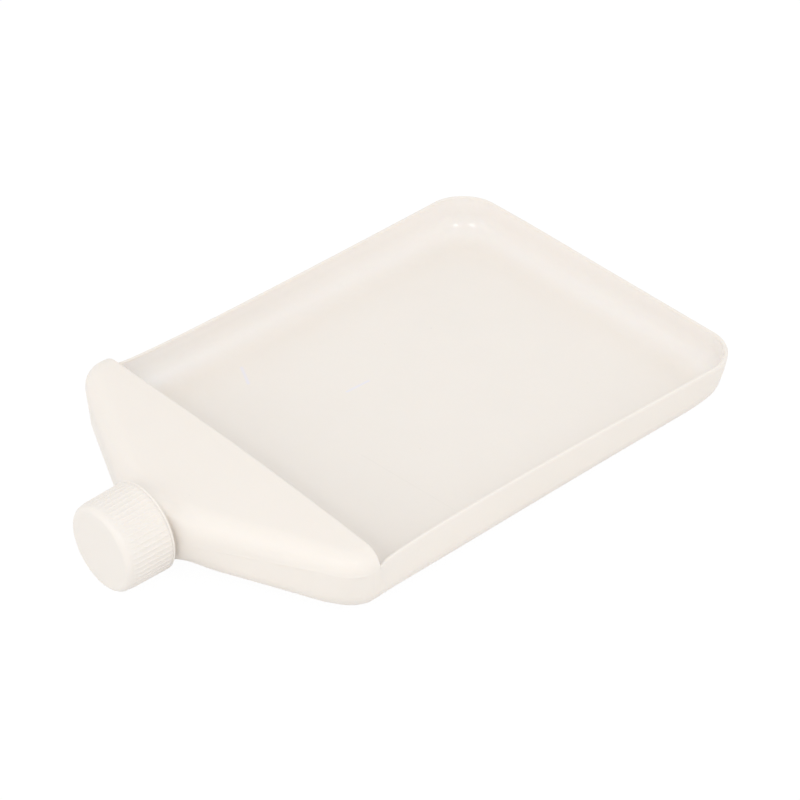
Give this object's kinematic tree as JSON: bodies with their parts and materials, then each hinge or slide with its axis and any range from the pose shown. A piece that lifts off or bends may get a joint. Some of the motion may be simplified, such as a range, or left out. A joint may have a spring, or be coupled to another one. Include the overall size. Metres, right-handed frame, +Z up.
{
  "type": "spouted mixing palette",
  "caption": "Flat rectangular mixing tray whose hooded front narrows through sloping shoulders to a threaded pouring neck, closed by a ribbed screw cap with a sealing disc.",
  "frame": {"origin": "on the flat underside, on the middle line, straight below the hood's cut edge", "axes": "+Y towards the tray's rear wall, -Y along the neck's axis to the cap, +Z up out of the open tray"},
  "size_m": [0.1394, 0.222, 0.031],
  "materials": {
    "tray_plastic": "smooth moulded polyethylene, warm off-white, soft satin gloss",
    "cap_plastic": "ribbed moulded polypropylene, warm off-white, soft satin gloss",
    "liner_foam": "dull white foamed polyethylene"
  },
  "bodies": {
    "tray": {"tray_body": "tray_plastic"},
    "liner": {"cap_liner": "liner_foam"},
    "cap": {"screw_cap": "cap_plastic"}
  },
  "joints": [
    {"name": "cap_travel", "type": "slide", "parent": "tray", "child": "liner", "axis": [0, -1, 0], "range_m": [0, 0.0212]},
    {"name": "cap_turn", "type": "hinge", "parent": "liner", "child": "cap", "pos_m": [0, -0.05, 0.0109], "axis": [0, -1, 0], "range_deg": [0, 1800]}
  ],
  "couplings": [
    {"joint": "cap_travel", "follows": "cap_turn", "m_per_rad": 0.00067323}
  ]
}
